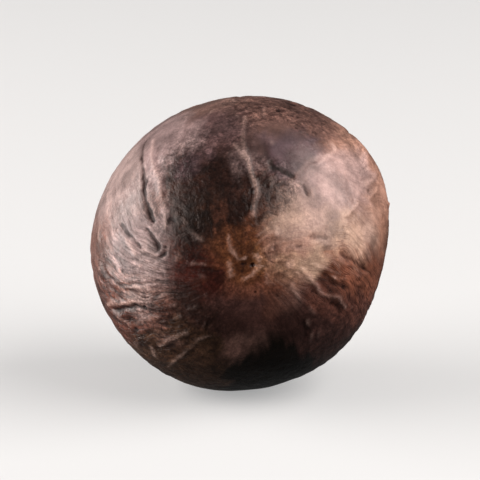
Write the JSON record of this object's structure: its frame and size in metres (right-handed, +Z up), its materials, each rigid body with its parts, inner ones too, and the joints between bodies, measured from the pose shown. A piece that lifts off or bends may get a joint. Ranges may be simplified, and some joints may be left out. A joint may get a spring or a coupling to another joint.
{
  "type": "whole nutmeg in its shell",
  "caption": "Whole dried nutmeg in its dark brown shell: a plump egg shape with wrinkles running lengthwise, a ring-shaped scar at the broad end and a small flat spot to lie on",
  "frame": {"origin": "middle of the bounding box at its base, on the flat spot that the nutmeg lies on", "axes": "+Z up; Y along the length, with the scar's end facing -Y and raised by about 6 degrees; X across"},
  "size_m": [0.0266, 0.0306, 0.0262],
  "materials": {
    "nutmeg_shell": "dark brown seed shell with a satin gloss, tan streaks along its wrinkles and an ochre scar"
  },
  "bodies": {
    "root": {"nutmeg": "nutmeg_shell"}
  },
  "joints": []
}
